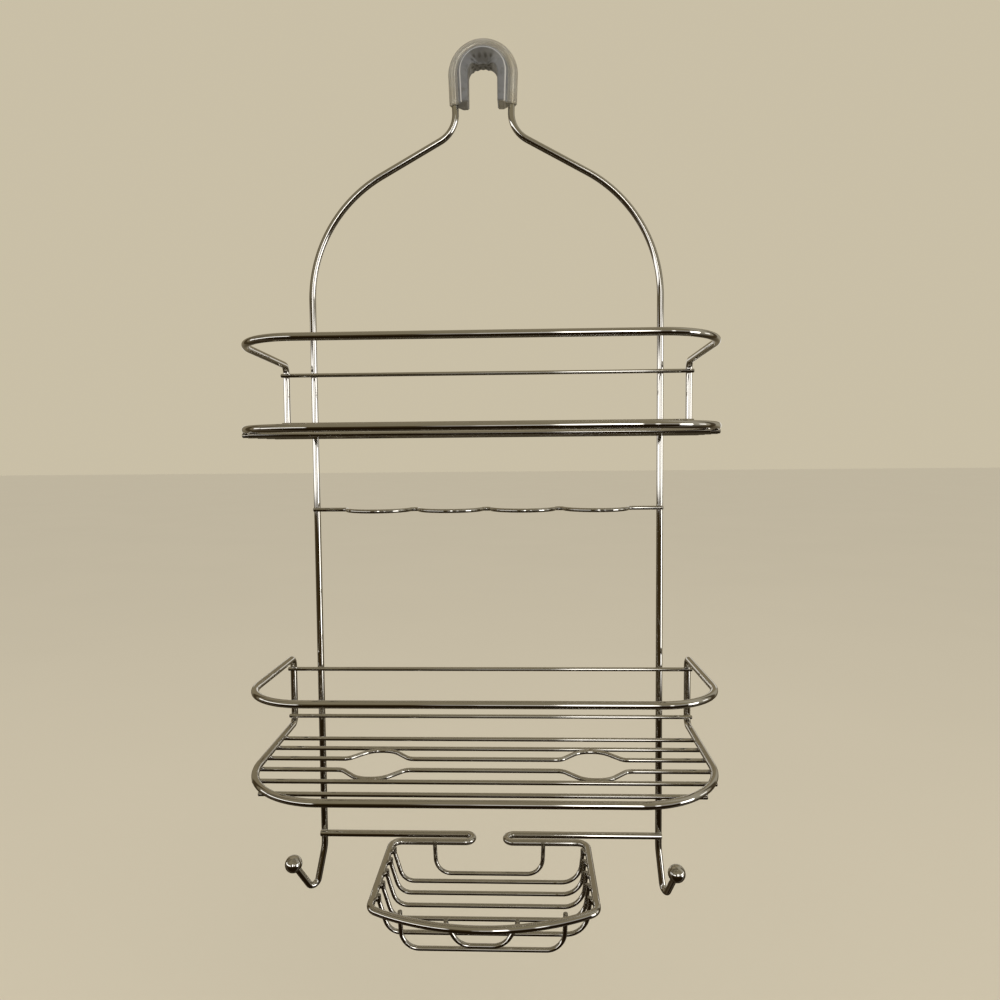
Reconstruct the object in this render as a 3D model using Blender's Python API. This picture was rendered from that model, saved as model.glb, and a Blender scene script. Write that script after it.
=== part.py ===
"""Chrome wire shower caddy that hangs over a shower arm.

Origin: the inside top of the hanger grip, where it rests on the shower arm.
+X is the user's right, -Y is the front, away from the wall, and +Z is up.
All dimensions below are in millimetres; the scene is in metres.
"""

import math

import bmesh
import bpy
from mathutils import Vector

MM = 0.001

# wire sizes
MAIN_WIRE_RADIUS = 2.5
THIN_WIRE_RADIUS = 1.5
WELD_GAP = 0.3
ARC_SAG = 0.12
LONGEST_ARC_STEP_DEG = 15.0

# main frame
ARCH_CENTRE_Z = -6.5
ARCH_RADIUS = 21.7
NECK_HALF_SPACING = 20.2
NECK_CORNER_Z = -47.4
NECK_BEND = 22.0
RAIL_HALF_SPACING = 131.0
SHOULDER_CORNER_Z = -108.3
SHOULDER_BEND = 105.0

# hooks at the lower ends of the rails
HOOK_SPLAY_DEG = {"left": 48.0, "right": 20.0}
HOOK_LEAN_Z = -594.0
HOOK_LEAN_BEND = 36.0
HOOK_TOE_REACH = 8.7
HOOK_TOE_Z = -630.0
HOOK_TOE_BEND = 4.5
HOOK_BALL_REACH = 26.4
HOOK_BALL_Z = -600.0
HOOK_BALL_RADIUS = 6.5
BALL_SOCKET_DEPTH = 4.0

# grip on the arch
GRIP_TUBE_RADIUS = 4.1
GRIP_BORE_RADIUS = 2.8
GRIP_THROAT_HALF_WIDTH = 10.7
GRIP_THROAT_BEND = 8.0
GRIP_LINER_OVERLAP = 0.9
GRIP_DEPTH = 15.0
GRIP_LEG_Z = -29.0
GRIP_EDGE_ROUND = 1.2

# baskets
BASKET_HALF_WIDTH = 152.5
BASKET_HEIGHT = 51.0
UPPER_FLOOR_Z = -269.4
LOWER_FLOOR_Z = -495.2
POST_BEND = 6.0
TOP_RIM_DEPTH = 114.0
TOP_RIM_CORNER = 41.0
TOP_RIM_RISE = 2.5
FLOOR_DEPTH = 129.0
FLOOR_CORNER = 55.0
FLOOR_FALL = 2.0
CROSS_WIRE_HALF_LENGTH = 155.5
TOP_CROSS_DROP = 7.7
BOTTOM_CROSS_RISE = 6.2
FLOOR_WIRE_COUNT = 6
FLOOR_WIRE_FIRST_Y = -23.5
FLOOR_WIRE_PITCH = 17.4
FLOOR_WIRE_OVERHANG = 2.0
BOTTLE_HOLE_X = 74.5
BOTTLE_HOLE_HALF_WIDTH = 21.5
BOTTLE_HOLE_CREST_HALF_WIDTH = 8.0
BOTTLE_HOLE_BULGE = 14.0
BOTTLE_HOLE_FOOT_BEND = 8.0
BOTTLE_HOLE_CREST_BEND = 16.0
BOTTLE_HOLE_SIDES = {3: 1.0, 4: -1.0}

# razor rail
RAZOR_RAIL_Z = -328.2
RAZOR_RAIL_HALF_LENGTH = 133.0
SCALLOP_COUNT = 4
SCALLOP_PITCH = 54.8
SCALLOP_DEPTH = 23.0
SCALLOP_RETURN_BEND = 3.5

# soap dish
DISH_Z = -581.8
DISH_END_X = 132.5
DISH_HAIRPIN_X = 18.3
DISH_HAIRPIN_BEND = 5.5
DISH_HALF_WIDTH = 74.0
DISH_BACK_CORNER = 8.0
DISH_FRONT_CORNER = 9.0
DISH_FRONT_Y = -119.3
DISH_FRONT_BOW = 19.3
TRAY_DROP = 22.3
TRAY_SIDE_RISE = 3.5
TRAY_END_RISE = 2.5
TRAY_SHOULDER_DROP = 1.0
TRAY_SHOULDER_BEND = 9.0
TRAY_SIDE_WIRE_FIRST_Y = -31.0
TRAY_WIRE_PITCH = 14.6
TRAY_SIDE_LEANS = (6.5, 2.5)
TRAY_SIDE_BENDS = (11.0, 15.0)
TRAY_END_LEANS = (1.0, 1.0)
TRAY_END_BENDS = (12.0, 12.0)
TRAY_REAR_HALF_WIDTH = 41.0
TRAY_FRONT_HALF_WIDTH = 53.0
TRAY_LIP_HALF_WIDTH = 22.5
TRAY_LIP_DROP = 14.5
TRAY_LIP_LEANS = (8.5, 8.5)
TRAY_LIP_BENDS = (13.0, 13.0)

# finishes: base colour, roughness, metallic
CHROME = ((0.80, 0.79, 0.76, 1.0), 0.12, 1.0)
VINYL = ((0.50, 0.50, 0.52, 1.0), 0.35, 0.0)


def clear_scene():
    for obj in list(bpy.data.objects):
        bpy.data.objects.remove(obj, do_unlink=True)
    for collection in list(bpy.data.collections):
        bpy.data.collections.remove(collection)


def new_collection(name):
    collection = bpy.data.collections.new(name)
    bpy.context.scene.collection.children.link(collection)
    return collection


def give_finish(obj, finish):
    colour, roughness, metallic = finish
    material = bpy.data.materials.new(obj.name)
    material.use_nodes = True
    shader = material.node_tree.nodes["Principled BSDF"]
    shader.inputs["Base Color"].default_value = colour
    shader.inputs["Roughness"].default_value = roughness
    shader.inputs["Metallic"].default_value = metallic
    material.diffuse_color = colour
    obj.data.materials.append(material)


def arc_points(centre, start, normal, angle):
    """Points on the arc from start, turning by angle (radians) about normal."""
    arm = start - centre
    step = 2 * math.acos(1 - ARC_SAG / arm.length)
    step = min(step, math.radians(LONGEST_ARC_STEP_DEG))
    steps = max(2, math.ceil(abs(angle) / step))
    side = normal.cross(arm)
    return [
        centre + arm * math.cos(angle * i / steps) + side * math.sin(angle * i / steps)
        for i in range(steps + 1)
    ]


def rounded_corner(before, corner, after, bend):
    """The arc of radius bend that replaces a corner of a bent wire."""
    to_before = (before - corner).normalized()
    to_after = (after - corner).normalized()
    half_angle = to_before.angle(to_after) / 2
    start = corner + to_before * (bend / math.tan(half_angle))
    centre = corner + (to_before + to_after).normalized() * (bend / math.sin(half_angle))
    normal = to_after.cross(to_before).normalized()
    return arc_points(centre, start, normal, math.pi - 2 * half_angle)


def bent_path(corners, closed=False):
    """Turns (point, bend radius) corners into the points of a wire's centre-line."""
    points = []
    for index, (corner, bend) in enumerate(corners):
        is_end = not closed and index in (0, len(corners) - 1)
        if bend and not is_end:
            before = corners[index - 1][0]
            after = corners[(index + 1) % len(corners)][0]
            points += rounded_corner(before, corner, after, bend)
        else:
            points.append(corner)
    return points


def mirrored(points):
    return [Vector((-p.x, p.y, p.z)) for p in points]


def wire(name, points, radius, collection, closed=False):
    """A round wire along points, made of one bevelled curve with capped ends."""
    curve = bpy.data.curves.new(name, "CURVE")
    curve.dimensions = "3D"
    curve.bevel_depth = radius * MM
    curve.bevel_resolution = 2
    curve.use_fill_caps = True
    spline = curve.splines.new("POLY")
    spline.points.add(len(points) - 1)
    for spline_point, point in zip(spline.points, points):
        spline_point.co = (point.x * MM, point.y * MM, point.z * MM, 1.0)
    spline.use_cyclic_u = closed
    obj = bpy.data.objects.new(name, curve)
    collection.objects.link(obj)
    give_finish(obj, CHROME)
    return obj


def hook_point(side, reach, z):
    """A point reach in front of the rail's foot, along the way the hook points."""
    sign = -1.0 if side == "left" else 1.0
    splay = math.radians(HOOK_SPLAY_DEG[side])
    x = sign * (RAIL_HALF_SPACING + reach * math.sin(splay))
    return Vector((x, -reach * math.cos(splay), z))


def hook_axis(side):
    """The direction of the hook's last straight, from the ball down to the toe."""
    ball = hook_point(side, HOOK_BALL_REACH, HOOK_BALL_Z)
    return (hook_point(side, HOOK_TOE_REACH, HOOK_TOE_Z) - ball).normalized()


def hook_corners(side):
    """One hook from its tip in the ball, round the toe, to where it leaves the rail."""
    ball = hook_point(side, HOOK_BALL_REACH, HOOK_BALL_Z)
    tip = ball + hook_axis(side) * (HOOK_BALL_RADIUS - BALL_SOCKET_DEPTH + WELD_GAP)
    return [
        (tip, 0.0),
        (hook_point(side, HOOK_TOE_REACH, HOOK_TOE_Z), HOOK_TOE_BEND),
        (hook_point(side, 0.0, HOOK_LEAN_Z), HOOK_LEAN_BEND),
    ]


def leg_x(z):
    """The arch's legs lean in a little from the arch's ends down to the neck."""
    lean = (ARCH_RADIUS - NECK_HALF_SPACING) / (ARCH_CENTRE_Z - NECK_CORNER_Z)
    return ARCH_RADIUS - lean * (ARCH_CENTRE_Z - z)


def arch_path(foot_z):
    """The wire over the shower arm, from one leg's foot to the other's."""
    centre = Vector((0.0, 0.0, ARCH_CENTRE_Z))
    start = Vector((ARCH_RADIUS, 0.0, ARCH_CENTRE_Z))
    arch = arc_points(centre, start, Vector((0.0, -1.0, 0.0)), math.pi)
    foot = Vector((leg_x(foot_z), 0.0, foot_z))
    return [foot] + arch + mirrored([foot])


def main_frame_points():
    """One wire: hook, rail, shoulder, neck, arch, and the same again."""
    sides = []
    for side, sign in (("right", 1.0), ("left", -1.0)):
        corners = hook_corners(side) + [
            (Vector((sign * RAIL_HALF_SPACING, 0.0, SHOULDER_CORNER_Z)), SHOULDER_BEND),
            (Vector((sign * NECK_HALF_SPACING, 0.0, NECK_CORNER_Z)), NECK_BEND),
            (Vector((sign * ARCH_RADIUS, 0.0, ARCH_CENTRE_Z)), 0.0),
        ]
        sides.append(bent_path(corners)[:-1])
    right, left = sides
    return right + arch_path(GRIP_LEG_Z)[1:-1] + left[::-1]


def mesh_object(name, mesh_builder, collection):
    mesh = bpy.data.meshes.new(name)
    shape = bmesh.new()
    mesh_builder(shape)
    shape.to_mesh(mesh)
    shape.free()
    obj = bpy.data.objects.new(name, mesh)
    collection.objects.link(obj)
    return obj


def cut_away(obj, cutter, collection):
    cutter.hide_render = True
    cutter.display_type = "WIRE"
    if cutter.name not in collection.objects:
        collection.objects.link(cutter)
    boolean = obj.modifiers.new("cut " + cutter.name, "BOOLEAN")
    boolean.operation = "DIFFERENCE"
    boolean.solver = "EXACT"
    boolean.object = cutter


def hook_ball(side, parts, cutters):
    """A ball bored along the wire, pressed on the end of the hook."""
    name = side + "_hook_ball"
    axis = hook_axis(side)
    centre = hook_point(side, HOOK_BALL_REACH, HOOK_BALL_Z)

    def ball(shape):
        bmesh.ops.create_uvsphere(
            shape, u_segments=24, v_segments=14, radius=HOOK_BALL_RADIUS * MM
        )

    def socket(shape):
        bmesh.ops.create_cone(
            shape,
            cap_ends=True,
            segments=16,
            radius1=(MAIN_WIRE_RADIUS + WELD_GAP) * MM,
            radius2=(MAIN_WIRE_RADIUS + WELD_GAP) * MM,
            depth=2 * BALL_SOCKET_DEPTH * MM,
        )

    obj = mesh_object(name, ball, parts)
    cutter = mesh_object(name + "_socket", socket, cutters)
    obj.location = centre * MM
    cutter.location = (centre + axis * HOOK_BALL_RADIUS) * MM
    for piece in (obj, cutter):
        piece.rotation_euler = axis.to_track_quat("Z", "Y").to_euler()
    cut_away(obj, cutter, cutters)
    give_finish(obj, CHROME)


def closed_mesh(guide, name, collection):
    """Turns a curve object into a closed mesh, for use with a Boolean."""
    graph = bpy.context.evaluated_depsgraph_get()
    mesh = bpy.data.meshes.new_from_object(guide.evaluated_get(graph))
    shape = bmesh.new()
    shape.from_mesh(mesh)
    bmesh.ops.remove_doubles(shape, verts=shape.verts, dist=0.00001)
    bmesh.ops.transform(shape, matrix=guide.matrix_world, verts=shape.verts)
    bmesh.ops.recalc_face_normals(shape, faces=shape.faces)
    shape.to_mesh(mesh)
    shape.free()
    mesh.materials.clear()
    bpy.data.objects.remove(guide, do_unlink=True)
    obj = bpy.data.objects.new(name, mesh)
    collection.objects.link(obj)
    return obj


def round_tube(name, points, radius, collection):
    guide = wire(name + "_guide", points, radius, collection)
    guide.data.bevel_resolution = 4
    return closed_mesh(guide, name, collection)


def liner_outline():
    """The liner from the front: under the tube outside, round the arm inside."""
    centre = Vector((0.0, 0.0, ARCH_CENTRE_Z))
    inset = GRIP_TUBE_RADIUS - GRIP_LINER_OVERLAP
    start = Vector((ARCH_RADIUS - inset, 0.0, ARCH_CENTRE_Z))
    arch = arc_points(centre, start, Vector((0.0, -1.0, 0.0)), math.pi)
    foot = Vector((leg_x(GRIP_LEG_Z) - inset, 0.0, GRIP_LEG_Z))
    half = GRIP_THROAT_HALF_WIDTH
    throat = [
        (Vector((-half, 0.0, GRIP_LEG_Z)), 0.0),
        (Vector((-half, 0.0, 0.0)), GRIP_THROAT_BEND),
        (Vector((half, 0.0, 0.0)), GRIP_THROAT_BEND),
        (Vector((half, 0.0, GRIP_LEG_Z)), 0.0),
    ]
    return [foot] + arch + mirrored([foot]) + bent_path(throat)


def flat_piece(name, outline, depth, collection):
    """A filled outline in the XZ plane, as thick as depth, with rounded edges."""
    curve = bpy.data.curves.new(name, "CURVE")
    curve.dimensions = "2D"
    curve.fill_mode = "BOTH"
    curve.extrude = (depth / 2 - GRIP_EDGE_ROUND) * MM
    curve.bevel_depth = GRIP_EDGE_ROUND * MM
    curve.bevel_resolution = 1
    curve.offset = -GRIP_EDGE_ROUND * MM
    spline = curve.splines.new("POLY")
    spline.points.add(len(outline) - 1)
    for spline_point, point in zip(spline.points, outline):
        spline_point.co = (point.x * MM, point.z * MM, 0.0, 1.0)
    spline.use_cyclic_u = True
    guide = bpy.data.objects.new(name + "_guide", curve)
    guide.rotation_euler.x = math.pi / 2
    collection.objects.link(guide)
    bpy.context.view_layer.update()
    return closed_mesh(guide, name, collection)


def grip(parts, cutters):
    """The vinyl saddle: a flat liner joined to a tube, bored for the main wire."""
    obj = flat_piece("grip", liner_outline(), GRIP_DEPTH, parts)
    tube = round_tube("grip_tube", arch_path(GRIP_LEG_Z), GRIP_TUBE_RADIUS, cutters)
    tube.hide_render = True
    tube.display_type = "WIRE"
    join = obj.modifiers.new("join tube", "BOOLEAN")
    join.operation = "UNION"
    join.solver = "EXACT"
    join.object = tube
    bore = round_tube("grip_bore", arch_path(GRIP_LEG_Z - 5.0), GRIP_BORE_RADIUS, cutters)
    cut_away(obj, bore, cutters)
    give_finish(obj, VINYL)


def floor_height(floor_z, y):
    """The floor falls slightly from the posts to the front."""
    return floor_z + FLOOR_FALL * y / FLOOR_DEPTH


def basket_rim_points(floor_z):
    """One closed wire: top rim, back posts and floor rim."""
    top_z = floor_z + BASKET_HEIGHT
    top_front_z = top_z + TOP_RIM_RISE
    floor_front_z = floor_height(floor_z, -FLOOR_DEPTH)
    half = BASKET_HALF_WIDTH
    corners = [
        (Vector((half, 0.0, floor_z)), POST_BEND),
        (Vector((half, 0.0, top_z)), POST_BEND),
        (Vector((half, -TOP_RIM_DEPTH, top_front_z)), TOP_RIM_CORNER),
        (Vector((-half, -TOP_RIM_DEPTH, top_front_z)), TOP_RIM_CORNER),
        (Vector((-half, 0.0, top_z)), POST_BEND),
        (Vector((-half, 0.0, floor_z)), POST_BEND),
        (Vector((-half, -FLOOR_DEPTH, floor_front_z)), FLOOR_CORNER),
        (Vector((half, -FLOOR_DEPTH, floor_front_z)), FLOOR_CORNER),
    ]
    return bent_path(corners, closed=True)


def floor_half_width(y):
    """Half of the floor rim's width at depth y, round its front corners too."""
    into_corner = FLOOR_CORNER - FLOOR_DEPTH - y
    if into_corner <= 0:
        return BASKET_HALF_WIDTH
    reach = math.sqrt(max(FLOOR_CORNER**2 - into_corner**2, 0.0))
    return BASKET_HALF_WIDTH - FLOOR_CORNER + reach


def bottle_hole_corners(centre_x, y, z, bulge):
    """The bends that lead a floor wire round half of a bottle-neck hole."""
    foot = BOTTLE_HOLE_HALF_WIDTH
    crest = BOTTLE_HOLE_CREST_HALF_WIDTH
    return [
        (Vector((centre_x - foot, y, z)), BOTTLE_HOLE_FOOT_BEND),
        (Vector((centre_x - crest, y + bulge, z)), BOTTLE_HOLE_CREST_BEND),
        (Vector((centre_x + crest, y + bulge, z)), BOTTLE_HOLE_CREST_BEND),
        (Vector((centre_x + foot, y, z)), BOTTLE_HOLE_FOOT_BEND),
    ]


def floor_wire_points(number, floor_z):
    y = FLOOR_WIRE_FIRST_Y - (number - 1) * FLOOR_WIRE_PITCH
    z = floor_height(floor_z, y) - MAIN_WIRE_RADIUS - THIN_WIRE_RADIUS - WELD_GAP
    end_x = floor_half_width(y) + FLOOR_WIRE_OVERHANG
    corners = [(Vector((-end_x, y, z)), 0.0)]
    if number in BOTTLE_HOLE_SIDES:
        bulge = BOTTLE_HOLE_BULGE * BOTTLE_HOLE_SIDES[number]
        for centre_x in (-BOTTLE_HOLE_X, BOTTLE_HOLE_X):
            corners += bottle_hole_corners(centre_x, y, z, bulge)
    corners.append((Vector((end_x, y, z)), 0.0))
    return bent_path(corners)


def cross_wire_points(z):
    y = -(MAIN_WIRE_RADIUS + THIN_WIRE_RADIUS + WELD_GAP)
    return [Vector((side * CROSS_WIRE_HALF_LENGTH, y, z)) for side in (-1, 1)]


def basket(prefix, floor_z, parts):
    wire(prefix + "_rim", basket_rim_points(floor_z), MAIN_WIRE_RADIUS, parts, True)
    top_cross_z = floor_z + BASKET_HEIGHT - TOP_CROSS_DROP
    bottom_cross_z = floor_z + BOTTOM_CROSS_RISE
    for name, z in (("_top_cross_wire", top_cross_z), ("_bottom_cross_wire", bottom_cross_z)):
        wire(prefix + name, cross_wire_points(z), THIN_WIRE_RADIUS, parts)
    for number in range(1, FLOOR_WIRE_COUNT + 1):
        name = f"{prefix}_floor_wire_{number}"
        wire(name, floor_wire_points(number, floor_z), THIN_WIRE_RADIUS, parts)


def razor_rail_points():
    """A wire whose arcs bow forward, joined by tight return bends at the rail."""
    rail_y = -(MAIN_WIRE_RADIUS + THIN_WIRE_RADIUS + WELD_GAP)
    half_pitch = SCALLOP_PITCH / 2
    tight = SCALLOP_RETURN_BEND
    # the big arc touches both tight bends and reaches the scallop's depth
    offset = tight - SCALLOP_DEPTH
    radius = (half_pitch**2 + offset**2 - tight**2) / (2 * (tight - offset))
    arc_y = rail_y - SCALLOP_DEPTH + radius
    tight_y = rail_y - tight
    lean = math.atan2(arc_y - tight_y, half_pitch)
    points = []
    down = Vector((0.0, 0.0, -1.0))
    up = Vector((0.0, 0.0, 1.0))
    for number in range(SCALLOP_COUNT + 1):
        joint_x = (number - SCALLOP_COUNT / 2) * SCALLOP_PITCH
        centre = Vector((joint_x, tight_y, RAZOR_RAIL_Z))
        top = centre + Vector((0.0, tight, 0.0))
        left = centre + Vector((-math.cos(lean), math.sin(lean), 0.0)) * tight
        quarter = math.pi / 2 - lean
        if number == 0:
            points += arc_points(centre, top, down, quarter)
        elif number == SCALLOP_COUNT:
            points += arc_points(centre, left, down, quarter)
        else:
            points += arc_points(centre, left, down, 2 * quarter)
        if number < SCALLOP_COUNT:
            arc_centre = Vector((joint_x + half_pitch, arc_y, RAZOR_RAIL_Z))
            touch = Vector((-math.cos(lean), -math.sin(lean), 0.0)) * radius
            arc = arc_points(arc_centre, arc_centre + touch, up, math.pi - 2 * lean)
            points += arc[1:-1]
    ends = [Vector((side * RAZOR_RAIL_HALF_LENGTH, rail_y, RAZOR_RAIL_Z)) for side in (-1, 1)]
    return [ends[0]] + points + [ends[1]]


def dish_front_y(x):
    """The bowed front of the soap dish: an arc through its corners and middle."""
    bow_radius = (DISH_HALF_WIDTH**2 + DISH_FRONT_BOW**2) / (2 * DISH_FRONT_BOW)
    return DISH_FRONT_Y + bow_radius - math.sqrt(bow_radius**2 - x**2)


def dish_rim_points():
    """Right half: rail, hairpin, back corner, side, front corner, half the bow."""
    back_y = -(2 * MAIN_WIRE_RADIUS + WELD_GAP)
    inner_y = back_y - 2 * DISH_HAIRPIN_BEND
    hairpin_centre = Vector((DISH_HAIRPIN_X, back_y - DISH_HAIRPIN_BEND, DISH_Z))
    hairpin = arc_points(
        hairpin_centre,
        hairpin_centre + Vector((0.0, DISH_HAIRPIN_BEND, 0.0)),
        Vector((0.0, 0.0, 1.0)),
        math.pi,
    )
    bow = [Vector((x, dish_front_y(x), DISH_Z)) for x in (66.0, 55.0, 44.0, 33.0, 22.0, 11.0)]
    corners = [
        (hairpin[-1], 0.0),
        (Vector((DISH_HALF_WIDTH, inner_y, DISH_Z)), DISH_BACK_CORNER),
        (Vector((DISH_HALF_WIDTH, dish_front_y(DISH_HALF_WIDTH), DISH_Z)), DISH_FRONT_CORNER),
        (bow[0], 0.0),
    ]
    end = Vector((DISH_END_X, back_y, DISH_Z))
    right = [end] + hairpin + bent_path(corners)[1:] + bow[1:]
    middle = Vector((0.0, DISH_FRONT_Y, DISH_Z))
    return right + [middle] + mirrored(right)[::-1]


def tray_wire_points(half_width, y, rise, drop, leans, bends):
    """A U that hangs from the dish rim; below its welds each leg leans inward.

    leans and bends are those of the left and the right leg.
    """
    shoulder_z = DISH_Z - TRAY_SHOULDER_DROP
    legs = []
    for sign, lean, bend in zip((-1.0, 1.0), leans, bends):
        legs.append([
            (Vector((sign * half_width, y, DISH_Z + rise)), 0.0),
            (Vector((sign * half_width, y, shoulder_z)), TRAY_SHOULDER_BEND),
            (Vector((sign * (half_width - lean), y, DISH_Z - drop)), bend),
        ])
    left, right = legs
    return bent_path(left + right[::-1])


def soap_dish(parts):
    wire("dish_rim", dish_rim_points(), MAIN_WIRE_RADIUS, parts)
    standoff = MAIN_WIRE_RADIUS + THIN_WIRE_RADIUS + WELD_GAP
    inner_y = -(2 * MAIN_WIRE_RADIUS + WELD_GAP) - 2 * DISH_HAIRPIN_BEND
    side_half_width = DISH_HALF_WIDTH - standoff
    front_y = dish_front_y(TRAY_FRONT_HALF_WIDTH) + standoff + 0.4
    lip_y = dish_front_y(TRAY_LIP_HALF_WIDTH) + standoff + 0.2
    end = (TRAY_END_RISE, TRAY_DROP, TRAY_END_LEANS, TRAY_END_BENDS)
    side = (TRAY_SIDE_RISE, TRAY_DROP, TRAY_SIDE_LEANS, TRAY_SIDE_BENDS)
    lip = (TRAY_END_RISE, TRAY_LIP_DROP, TRAY_LIP_LEANS, TRAY_LIP_BENDS)
    tray = [(TRAY_REAR_HALF_WIDTH, inner_y - standoff, *end)]
    for row in range(5):
        y = TRAY_SIDE_WIRE_FIRST_Y - row * TRAY_WIRE_PITCH
        tray.append((side_half_width, y, *side))
    tray.append((TRAY_FRONT_HALF_WIDTH, front_y, *end))
    tray.append((TRAY_LIP_HALF_WIDTH, lip_y, *lip))
    for number, shape in enumerate(tray, 1):
        wire(f"dish_wire_{number}", tray_wire_points(*shape), THIN_WIRE_RADIUS, parts)


def main():
    clear_scene()
    parts = new_collection("shower_caddy")
    cutters = new_collection("cutters")
    wire("main_frame", main_frame_points(), MAIN_WIRE_RADIUS, parts)
    hook_ball("left", parts, cutters)
    hook_ball("right", parts, cutters)
    grip(parts, cutters)
    basket("upper_basket", UPPER_FLOOR_Z, parts)
    basket("lower_basket", LOWER_FLOOR_Z, parts)
    wire("razor_rail", razor_rail_points(), THIN_WIRE_RADIUS, parts)
    soap_dish(parts)


main()
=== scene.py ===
import math

import bpy
import numpy as np
from mathutils import Matrix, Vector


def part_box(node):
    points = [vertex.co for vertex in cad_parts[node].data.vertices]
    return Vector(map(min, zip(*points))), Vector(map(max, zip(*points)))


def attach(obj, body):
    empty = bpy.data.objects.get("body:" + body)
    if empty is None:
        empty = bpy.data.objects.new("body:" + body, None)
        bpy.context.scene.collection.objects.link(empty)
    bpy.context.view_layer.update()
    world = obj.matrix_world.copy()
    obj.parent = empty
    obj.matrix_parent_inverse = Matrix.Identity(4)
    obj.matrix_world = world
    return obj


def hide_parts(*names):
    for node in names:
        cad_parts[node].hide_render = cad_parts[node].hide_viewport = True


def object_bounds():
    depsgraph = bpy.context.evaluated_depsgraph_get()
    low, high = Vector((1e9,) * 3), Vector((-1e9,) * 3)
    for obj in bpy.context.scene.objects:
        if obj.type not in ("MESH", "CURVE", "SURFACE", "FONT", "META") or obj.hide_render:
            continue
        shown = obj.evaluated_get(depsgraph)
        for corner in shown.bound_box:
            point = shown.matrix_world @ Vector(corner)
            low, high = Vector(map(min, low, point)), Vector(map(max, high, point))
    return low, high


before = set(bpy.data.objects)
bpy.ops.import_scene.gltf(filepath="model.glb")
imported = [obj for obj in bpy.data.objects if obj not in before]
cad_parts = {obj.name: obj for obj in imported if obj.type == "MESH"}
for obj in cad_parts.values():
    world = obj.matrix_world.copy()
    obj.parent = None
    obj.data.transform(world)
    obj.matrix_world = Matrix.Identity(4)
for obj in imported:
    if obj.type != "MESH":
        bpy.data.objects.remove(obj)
cadLow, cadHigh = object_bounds()
mm = 0.001
thick, thin, weldGap = 2.5, 1.5, 0.3          # wire radii and the CAD's gap at a weld, mm
pressed = 0.7                                 # a thin wire moves this far to sit in its welds
print("frame loaded,", len(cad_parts), "nodes")


# Lowest and highest corner of a CAD node, in mm.
def span(node):
    low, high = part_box(node)
    return np.array(low) / mm, np.array(high) / mm


# Unit vector: each row divided by its length.
def unit(v):
    v = np.asarray(v, float)
    return v / np.maximum(np.linalg.norm(v, axis=-1, keepdims=True), 1e-12)


# 0 below low, 1 above high, 3t^2 - 2t^3 between.
def smooth(value, low, high):
    t = np.clip((value - low) / (high - low), 0, 1)
    return t * t * (3 - 2 * t)


# Arc: start turned about axis by 0..angle, p = c + a*cos(t) + (axis x a)*sin(t), in 0.3 mm steps.
def arcRun(centre, start, axis, angle):
    centre, axis = np.asarray(centre, float), unit(axis)
    arm = np.asarray(start, float) - centre
    steps = max(abs(angle) * np.linalg.norm(arm) / 0.3, abs(angle) / 0.05, 4)
    t = np.linspace(0, angle, int(steps) + 1)[:, None]
    return centre + arm * np.cos(t) + np.cross(axis, arm) * np.sin(t)


# Bent path: each corner gives way to the arc of its bend radius that touches both straights.
def bentPath(corners, bends, closed=False):
    corners = np.asarray(corners, float)
    runs, last = [], len(corners) - 1
    for i, (corner, bend) in enumerate(zip(corners, bends)):
        if bend == 0 or (not closed and i in (0, last)):
            runs.append(corner[None])
            continue
        back = unit(corners[i - 1] - corner)
        onward = unit(corners[(i + 1) % (last + 1)] - corner)
        half = math.acos(np.clip(back @ onward, -1, 1)) / 2
        centre = corner + unit(back + onward) * bend / math.sin(half)
        arm = corner + back * bend / math.tan(half) - centre
        runs.append(arcRun(centre, centre + arm, np.cross(onward, back), math.pi - 2 * half))
    return np.vstack(runs + ([runs[0][:1]] if closed else []))


# Running mean over 2*reach+1 samples.
def blurred(values, reach, closed):
    sides = [(reach, reach)] + [(0, 0)] * (values.ndim - 1)
    padded = np.pad(values, sides, mode="wrap" if closed else "edge")
    total = np.cumsum(np.concatenate([np.zeros_like(padded[:1]), padded]), axis=0)
    return (total[2 * reach + 1:] - total[:-2 * reach - 1]) / (2 * reach + 1)


# Stations along a path: arc length is cut where the integral of a density passes whole numbers. The
# density is the largest of 1/longest, curvature/5 degrees, and 1/0.8 mm close to a weld.
# Returns point, tangent, curvature and arc length at each.
def stations(path, longest=2.2, closed=False, joints=None):
    step = np.linalg.norm(np.diff(path, axis=0), axis=1)
    path = path[np.r_[True, step > 1e-6]]
    s = np.r_[0, np.cumsum(np.linalg.norm(np.diff(path, axis=0), axis=1))]
    fine = np.linspace(0, s[-1], int(s[-1] / 0.2) + 2)
    dense = np.stack([np.interp(fine, s, path[:, k]) for k in range(3)], 1)
    tangent = unit(np.gradient(dense, fine, axis=0))
    tangent = unit(blurred(tangent, 3, closed))
    turn = blurred(np.linalg.norm(np.gradient(tangent, fine, axis=0), axis=1), 7, closed)
    density = np.maximum(1 / longest, turn / math.radians(5))
    if joints is not None:
        near = np.linalg.norm(dense[:, None] - joints[None], axis=2).min(1)
        density = np.maximum(density, 1.25 * smooth(near, 9, 6))
    total = np.r_[0, np.cumsum((density[1:] + density[:-1]) / 2 * np.diff(fine))]
    at = np.interp(np.linspace(0, total[-1], int(math.ceil(total[-1])) + 1), total, fine)
    at = at[:-1] if closed else at
    points = np.stack([np.interp(at, fine, dense[:, k]) for k in range(3)], 1)
    tangents = np.stack([np.interp(at, fine, tangent[:, k]) for k in range(3)], 1)
    return points, unit(tangents), np.interp(at, fine, turn), at


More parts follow.
